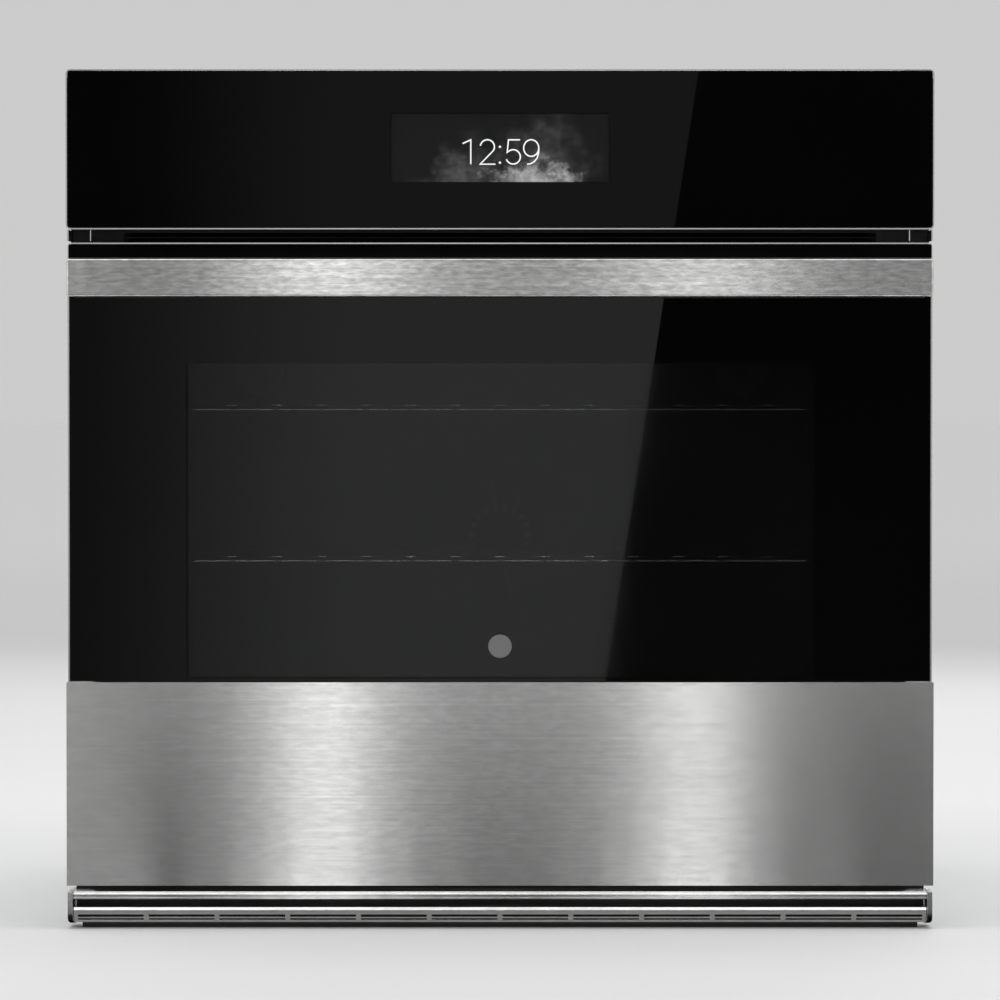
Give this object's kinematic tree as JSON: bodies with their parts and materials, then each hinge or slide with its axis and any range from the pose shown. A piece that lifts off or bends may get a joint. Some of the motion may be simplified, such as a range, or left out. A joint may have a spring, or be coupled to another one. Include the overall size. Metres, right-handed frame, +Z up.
{
  "type": "wall oven",
  "caption": "Built-in electric wall oven: glass control head over a drop-down glass door with a flat bar handle, wire racks in an enamelled cavity, and a slotted vent trim below.",
  "frame": {"origin": "centre of the bounding box on the plane of the lowest point, the lip under the vent trim", "axes": "+X along the oven's width, to the viewer's right; +Y from the door into the cabinet; +Z up"},
  "size_m": [0.756, 0.68, 0.75],
  "materials": {
    "galvanised": "zinc-coated sheet, dull spangle",
    "black_paint": "satin black",
    "brushed_steel": "horizontal brushed stainless, satin",
    "bright_trim": "bright polished steel",
    "enamel": "dark speckled porcelain enamel, gloss",
    "chrome_wire": "plated wire",
    "black_glass": "tinted and back-printed, polished",
    "clear_glass": "clear, polished",
    "heater_tube": "dark oxidised sheath",
    "glass_wool": "loose fibre blanket",
    "gasket": "woven glass-fibre sleeve",
    "aluminium": "mill finish",
    "display": "liquid-crystal screen, off black",
    "circuit_board": "green lacquer",
    "black_plastic": "moulded, matt"
  },
  "bodies": {
    "oven": {"base_pan": "black_paint", "left_side_panel": "galvanised", "right_side_panel": "galvanised", "back_panel": "galvanised", "top_cover": "galvanised", "front_frame": "black_paint", "left_mounting_trim": "black_paint", "right_mounting_trim": "black_paint", "oven_liner": "enamel", "insulation_blanket": "glass_wool", "door_gasket": "gasket", "left_rack_ladder": "chrome_wire", "right_rack_ladder": "chrome_wire", "bake_element": "heater_tube", "broil_element": "heater_tube", "convection_element": "heater_tube", "convection_baffle": "enamel", "convection_motor": "galvanised", "left_lamp": "galvanised", "right_lamp": "galvanised", "left_lamp_lens": "clear_glass", "right_lamp_lens": "clear_glass", "temperature_sensor": "bright_trim", "blower_housing": "galvanised", "blower_motor": "galvanised", "air_duct": "galvanised", "latch_motor": "galvanised", "door_switch": "black_plastic", "control_frame": "bright_trim", "control_glass": "black_glass", "display_module": "display", "relay_board": "circuit_board", "terminal_box": "galvanised", "conduit_connector": "bright_trim", "vent_bar": "brushed_steel", "vent_grille": "brushed_steel", "left_vent_cap": "brushed_steel", "right_vent_cap": "brushed_steel", "left_hinge_receiver": "galvanised", "right_hinge_receiver": "galvanised", "left_hinge_arm": "galvanised", "right_hinge_arm": "galvanised"},
    "door": {"door_outer_glass": "black_glass", "door_middle_glass": "clear_glass", "door_inner_glass": "clear_glass", "door_liner": "enamel", "door_frame": "brushed_steel", "door_top_trim": "black_paint", "door_lower_panel": "brushed_steel", "door_handle": "brushed_steel", "left_handle_post": "brushed_steel", "right_handle_post": "brushed_steel", "left_hinge_body": "galvanised", "right_hinge_body": "galvanised"},
    "upper_rack": {"upper_rack": "chrome_wire"},
    "lower_rack": {"lower_rack": "chrome_wire"},
    "convection_fan": {"convection_fan": "aluminium"},
    "blower_wheel": {"blower_wheel": "galvanised"},
    "latch_hook": {"latch_hook": "bright_trim"},
    "switch_plunger": {"switch_plunger": "black_plastic"}
  },
  "joints": [
    {"name": "door_hinge", "type": "hinge", "parent": "oven", "child": "door", "pos_m": [0, -0.28, 0.0605], "axis": [1, 0, 0], "range_deg": [0, 90], "stiffness_Nm_per_rad": 18, "springref_deg": -19.48},
    {"name": "lower_rack_slide", "type": "slide", "parent": "oven", "child": "lower_rack", "axis": [0, -1, 0], "range_m": [0, 0.3]},
    {"name": "upper_rack_slide", "type": "slide", "parent": "oven", "child": "upper_rack", "axis": [0, -1, 0], "range_m": [0, 0.3]},
    {"name": "convection_fan_spin", "type": "hinge", "parent": "oven", "child": "convection_fan", "pos_m": [0, 0.237, 0.33], "axis": [0, 1, 0], "continuous": true},
    {"name": "blower_wheel_spin", "type": "hinge", "parent": "oven", "child": "blower_wheel", "pos_m": [0, 0.152, 0.5935], "axis": [0, 0, 1], "continuous": true},
    {"name": "latch_hook_pivot", "type": "hinge", "parent": "oven", "child": "latch_hook", "pos_m": [0.028, -0.228, 0.5755], "axis": [0, 0, 1], "range_deg": [0, 60]},
    {"name": "switch_plunger_slide", "type": "slide", "parent": "oven", "child": "switch_plunger", "axis": [0, -1, 0], "range_m": [0, 0.006]}
  ],
  "couplings": [
    {"joint": "lower_rack_slide", "follows": "door_hinge", "m_per_rad": 0.19098},
    {"joint": "upper_rack_slide", "follows": "door_hinge", "m_per_rad": 0.19098},
    {"joint": "switch_plunger_slide", "follows": "door_hinge", "m_per_rad": 0.00381}
  ]
}
